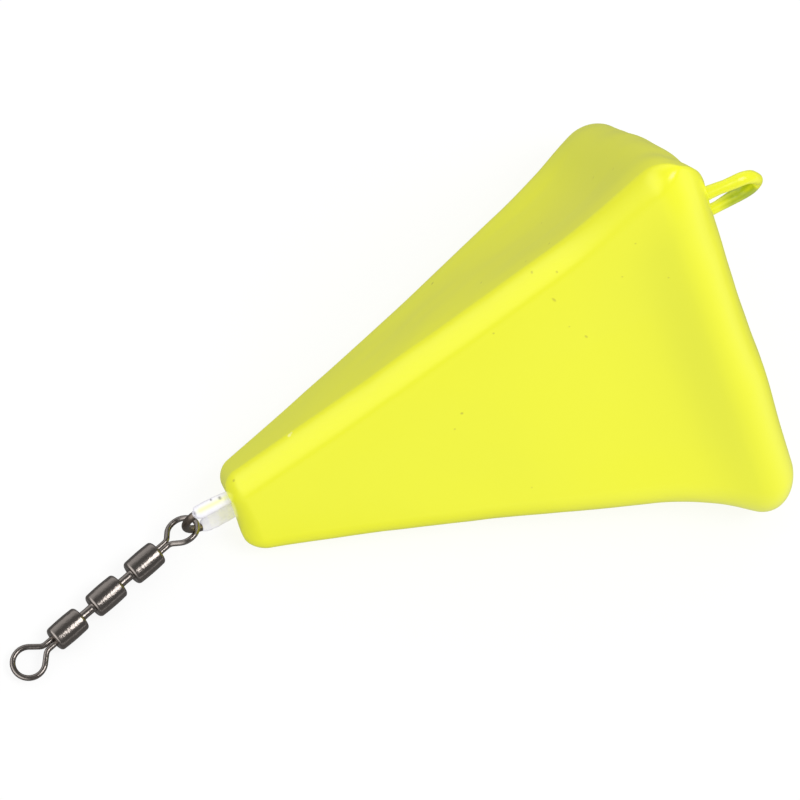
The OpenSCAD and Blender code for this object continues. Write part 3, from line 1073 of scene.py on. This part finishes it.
    def barrel(self, number: int) -> Callable[[], Grid]:
        """A barrel with slightly bulging sides and dished-in ends."""

        def surface() -> Grid:
            s = self.swivel
            h, r, c = s.barrel_len / 2, s.barrel / 2, s.round
            a = np.radians(np.linspace(0, 90, 12))
            side = np.linspace(-1, 1, 25)
            bulge = 0.05 * (1 - side**2)
            rim = r - 0.05
            body = [(x * (h - c), rim + b) for x, b in zip(side, bulge)]
            end = [(h - c + c * math.sin(t), rim - c + c * math.cos(t)) for t in a]
            hole = s.pin / 2 + s.run
            dish = [(h - 0.03, r - c - 0.16), (h - 0.10, hole + 0.16)]
            mouth = dish + [(h - 0.16, hole), (h - 0.5, hole)]
            right = end + mouth
            left = [(-x, y) for x, y in right[::-1]]
            return self.lathe(s.barrel_at(number), left + body[1:-1] + right)

        return surface

    def pin(self, number: int) -> Callable[[], Grid]:
        """A link pin with its two heads."""

        def surface() -> Grid:
            s = self.swivel
            inside = s.pitch_len / 2 - (s.barrel_len / 2 - s.end_wall - s.run)
            r = s.pin / 2
            neck = [(0.0, r - 0.05), (0.7, r - 0.03), (inside, r)]
            half = neck + [(inside, s.head / 2), (inside + s.head_len, s.head / 2)]
            profile = [(-x, y) for x, y in half[::-1]] + half[1:]
            return self.lathe(s.barrel_at(number) + s.pitch_len / 2, profile)

        return surface

    def pieces(self) -> list[Piece]:
        """Every visible piece of the object."""
        s = self.swivel
        skin = BodySkin(self.form, self.lay)
        near = self.eye(s.near_ring, 1, s.near_roll, self.NEAR_FORK)
        end = self.eye(s.end_ring, -1, 0.0, self.END_FORK)
        on_body = (
            ("coated_body", "yellow_coat", Slot.YELLOW, skin.layer(0.0)),
            ("primed_body", "white_base_coat", Slot.BASE_COAT, skin.layer(0.2)),
            ("cast_body", "lead_core", Slot.LEAD, skin.layer(0.32)),
            ("tow_eye", "tow_eye_coat", Slot.YELLOW, self.tow_coat),
            ("front_loop", "front_loop_wire", Slot.WIRE, self.front_wire),
            ("loop_run_upper", "front_loop_coat_upper", Slot.BASE_COAT, self.run(1)),
            ("loop_run_lower", "front_loop_coat_lower", Slot.BASE_COAT, self.run(-1)),
        )
        loose = [("near_eye", near), ("end_eye", end)]
        loose += [(f"barrel_{n + 1}", self.barrel(n)) for n in range(3)]
        loose += [(f"link_pin_{n + 1}", self.pin(n)) for n in range(2)]
        found = [Piece(name, node, "sinker", slot, make) for name, node, slot, make in on_body]
        for name, make in loose:
            found.append(Piece(name, f"swivel_{name}", name, Slot.BLACK_NICKEL, make))
        return found


@dataclass(frozen=True)
class Shot:
    """The camera's place, found from the photograph.

    Attributes:
        right: The camera's right in the body's own frame.
        up: The camera's up in the body's own frame.
        distance: Distance to the middle of the body's axis.
        focal_px: Focal length in pixels.
        centre_px: Where that middle appears.
        side_px: The picture's side.
    """

    right: Triple = (0.887, -0.455, -0.079)
    up: Triple = (0.456, 0.832, 0.316)
    distance: float = 432.25
    focal_px: float = 3500.0
    centre_px: tuple[float, float] = (474.77, 383.13)
    side_px: float = 800.0


class Studio:
    """Camera, light, floor and backdrop.

    Attributes:
        AIM: Point that the light faces.
        KEY_PLACE, KEY_SIZE, KEY_POWER: Place, side and power of the light.
        SENSOR: Width of the camera's sensor.
        REACH: Half the floor's side.
    """

    AIM = (0.005, 0, 0.02)
    KEY_PLACE, KEY_SIZE, KEY_POWER = (0.26, -0.26, 0.65), 0.35, 1.9
    SENSOR = 36
    REACH = 3

    def __init__(self, sinker: Sinker) -> None:
        """Keeps the object for the camera's aim."""
        self.sinker = sinker

    def build(self) -> None:
        """Makes everything that isn't part of the object."""
        self.camera(Shot())
        self.world()
        self.lights()
        self.floor()

    def camera(self, shot: Shot) -> None:
        """Places the camera as in the photograph."""
        lay = self.sinker.lay
        zero = lay.points(np.zeros(3))
        right = lay.points(np.array(shot.right)) - zero
        up = lay.points(np.array(shot.up)) - zero
        right /= np.linalg.norm(right)
        up -= right * (up @ right)
        up /= np.linalg.norm(up)
        back = np.cross(right, up)
        aim = lay.points(np.array([self.sinker.form.length / 2, 0, 0]))
        data = bpy.data.cameras.new("camera")
        data.sensor_width = self.SENSOR
        data.lens = self.SENSOR * shot.focal_px / shot.side_px
        data.shift_x = (shot.side_px / 2 - shot.centre_px[0]) / shot.side_px
        data.shift_y = (shot.centre_px[1] - shot.side_px / 2) / shot.side_px
        data.clip_start, data.clip_end = 0.01, 20
        camera = bpy.data.objects.new("camera", data)
        turn = Matrix(np.stack([right, up, back], 1).tolist()).to_4x4()
        camera.matrix_world = Matrix.Translation(Vector((aim + back * shot.distance) * MM)) @ turn
        bpy.context.scene.collection.objects.link(camera)
        bpy.context.scene.camera = camera

    def world(self) -> None:
        """A pale room: white to the camera, darker near the ground in reflections."""
        world = bpy.data.worlds.new("room")
        net = NodeTree.fresh(world)
        way = net.add("ShaderNodeTexCoord").outputs["Generated"]
        split = net.add("ShaderNodeSeparateXYZ", {0: way})
        x, y, z = split.outputs
        left = net.math("MULTIPLY", net.ramp(x, -0.25, -0.85, 0.0, 1.8), net.ramp(z, -0.05, 0.4))
        rear = net.ramp(y, 0.4, 0.95, 0.0, 0.65)
        sides = net.math("ADD", net.math("ADD", left, rear), 0.15)
        sky = net.ramp(y, -0.2, 0.9, 0.785, 1.04)
        soft, glossy, white = (
            net.add("ShaderNodeBackground", {"Color": WHITE, "Strength": strength}).outputs[0]
            for strength in (sky, sides, 1.0)
        )
        ray = net.add("ShaderNodeLightPath").outputs
        first = net.add("ShaderNodeMixShader", {0: ray["Is Glossy Ray"], 1: soft, 2: glossy})
        mixed = {0: ray["Is Camera Ray"], 1: first.outputs[0], 2: white}
        second = net.add("ShaderNodeMixShader", mixed)
        net.add("ShaderNodeOutputWorld", {0: second.outputs[0]})
        bpy.context.scene.world = world

    def lights(self) -> None:
        """One large square soft box, high on the right, that faces the object."""
        data = bpy.data.lights.new("key", "AREA")
        data.shape, data.size, data.energy = "SQUARE", self.KEY_SIZE, self.KEY_POWER
        light = bpy.data.objects.new("key", data)
        light.location = self.KEY_PLACE
        light.rotation_mode = "QUATERNION"
        aim = Vector(self.AIM) - Vector(self.KEY_PLACE)
        light.rotation_quaternion = aim.to_track_quat("-Z", "Y")
        bpy.context.scene.collection.objects.link(light)

    def floor(self) -> None:
        """A wide pale floor that reads as white paper to the camera."""
        mesh = bpy.data.meshes.new("floor")
        r = self.REACH
        mesh.from_pydata([(-r, -r, 0), (r, -r, 0), (r, r, 0), (-r, r, 0)], [], [(0, 1, 2, 3)])
        material = bpy.data.materials.new("floor")
        net = NodeTree.fresh(material)
        path = net.add("ShaderNodeLightPath")
        place = net.add("ShaderNodeTexCoord").outputs["Object"]
        side = net.add("ShaderNodeSeparateXYZ", {0: place}).outputs[1]
        paper = net.add("ShaderNodeBsdfDiffuse", {"Color": (0.16, 0.16, 0.16, 1)})
        shine = net.add("ShaderNodeEmission", {"Color": WHITE, "Strength": 0.84})
        white = net.add("ShaderNodeAddShader", {0: paper.outputs[0], 1: shine.outputs[0]})
        front = net.ramp(side, -0.04, -0.015, 0.5, 0.0)
        seen = net.add("ShaderNodeEmission", {"Strength": net.math("ADD", front, 0.2)})
        mixed = {0: path.outputs["Is Glossy Ray"], 1: white.outputs[0], 2: seen.outputs[0]}
        mix = net.add("ShaderNodeMixShader", mixed)
        net.add("ShaderNodeOutputMaterial", {0: mix.outputs[0]})
        mesh.materials.append(material)
        floor = bpy.data.objects.new("floor", mesh)
        bpy.context.scene.collection.objects.link(floor)


def main() -> None:
    """Builds the scene."""
    logging.basicConfig(level=logging.INFO)
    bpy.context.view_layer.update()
    sinker = Sinker()
    materials = Materials()
    for piece in sinker.pieces():
        obj = piece.build(materials)
        LOG.info("%s: %d faces", obj.name, len(obj.data.polygons))
    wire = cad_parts["tow_eye_wire"]
    wire.data.materials.clear()
    wire.data.materials.append(materials.get(Slot.WIRE))
    Studio(sinker).build()
    bpy.context.scene.view_settings.view_transform = "Standard"


if __name__ == "__main__":
    main()
